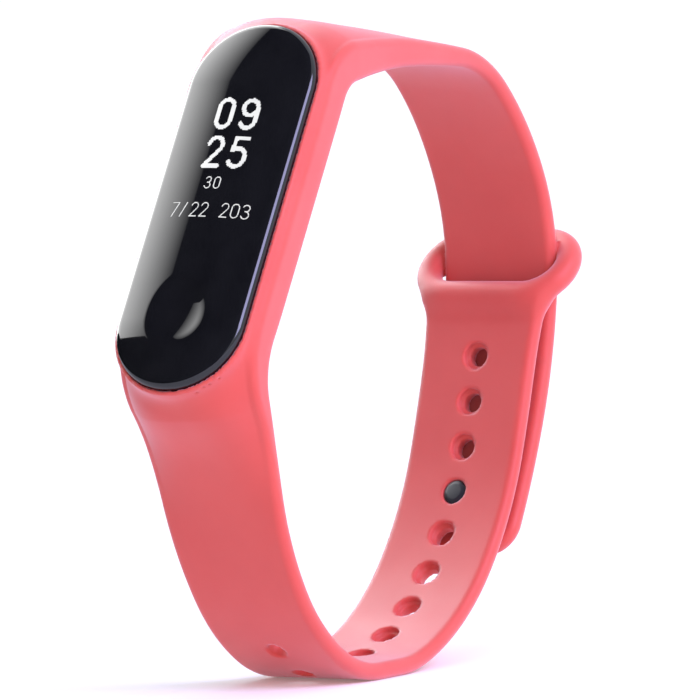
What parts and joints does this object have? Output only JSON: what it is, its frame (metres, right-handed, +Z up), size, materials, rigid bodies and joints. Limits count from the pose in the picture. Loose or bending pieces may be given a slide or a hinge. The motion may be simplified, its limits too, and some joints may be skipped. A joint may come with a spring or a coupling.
{
  "type": "fitness tracker band",
  "caption": "Fastened silicone wrist band carrying an oval tracker capsule with a domed black display, a keeper ring, stepped adjusting holes and a stud clasp.",
  "frame": {"origin": "middle of the object's box in X and Y, on the surface that the fastened loop stands on", "axes": "+Z up the height of the standing loop, +X from the tracker capsule towards the keeper ring and clasp, +Y across the width of the band"},
  "size_m": [0.0752, 0.0218, 0.0761],
  "materials": {
    "silicone": "matte moulded silicone, coral pink",
    "lens_black": "polished black",
    "shell_black": "fine moulded texture",
    "screen": "polished panel with white lit figures",
    "board_green": "solder mask",
    "chip_black": "moulded",
    "steel": "brushed",
    "gold": "gold plated",
    "foil": "pouch foil",
    "amber_film": "polyimide film",
    "foam": "open-cell foam",
    "led_lens": "clear-capped",
    "stud_black": "satin black anodised"
  },
  "bodies": {
    "band": {"wrist_band": "silicone"},
    "tail_upper": {"tail_strap": "silicone"},
    "tail_end": {"tail_tip": "silicone", "clasp_stud": "stud_black", "clasp_cap": "stud_black"},
    "capsule": {"lens_cover": "lens_black", "lens_seal": "foam", "capsule_housing": "shell_black", "charge_pin_left": "gold", "charge_pin_right": "gold", "display_tray": "shell_black", "display_panel": "screen", "display_ribbon": "amber_film", "touch_pad": "gold", "main_board": "board_green", "connector_block": "chip_black", "system_chip": "chip_black", "radio_chip": "chip_black", "memory_chip": "chip_black", "clock_crystal": "steel", "chip_antenna": "amber_film", "motion_sensor": "chip_black", "charge_chip": "chip_black", "battery_pad": "foam", "battery_cell": "foil", "battery_guard_board": "board_green", "motor_can": "steel", "motor_end_cap": "chip_black", "sensor_window": "lens_black", "light_baffle": "shell_black", "photodiode": "screen", "green_led_upper": "led_lens", "green_led_lower": "led_lens", "sensor_board": "board_green"},
    "motor_rotor": {"motor_shaft": "steel", "motor_weight": "steel"}
  },
  "joints": [
    {"name": "tail_peel", "type": "hinge", "parent": "band", "child": "tail_upper", "pos_m": [0.0314, 0, 0.0382], "axis": [0, -1, 0], "range_deg": [0, 18], "stiffness_Nm_per_rad": 0.02},
    {"name": "tail_flex", "type": "hinge", "parent": "tail_upper", "child": "tail_end", "pos_m": [0.02873, 0, 0.02878], "axis": [0, -1, 0], "range_deg": [0, 10.8], "stiffness_Nm_per_rad": 0.02},
    {"name": "capsule_slide", "type": "slide", "parent": "band", "child": "capsule", "axis": [-0.8524, -0.0698, 0.5183], "range_m": [0, 0.015]},
    {"name": "motor_spin", "type": "hinge", "parent": "capsule", "child": "motor_rotor", "pos_m": [-0.02855, 0.00003, 0.03779], "axis": [0.5195, 0, 0.8545], "continuous": true}
  ],
  "couplings": [
    {"joint": "tail_flex", "follows": "tail_peel", "ratio": 0.6}
  ]
}
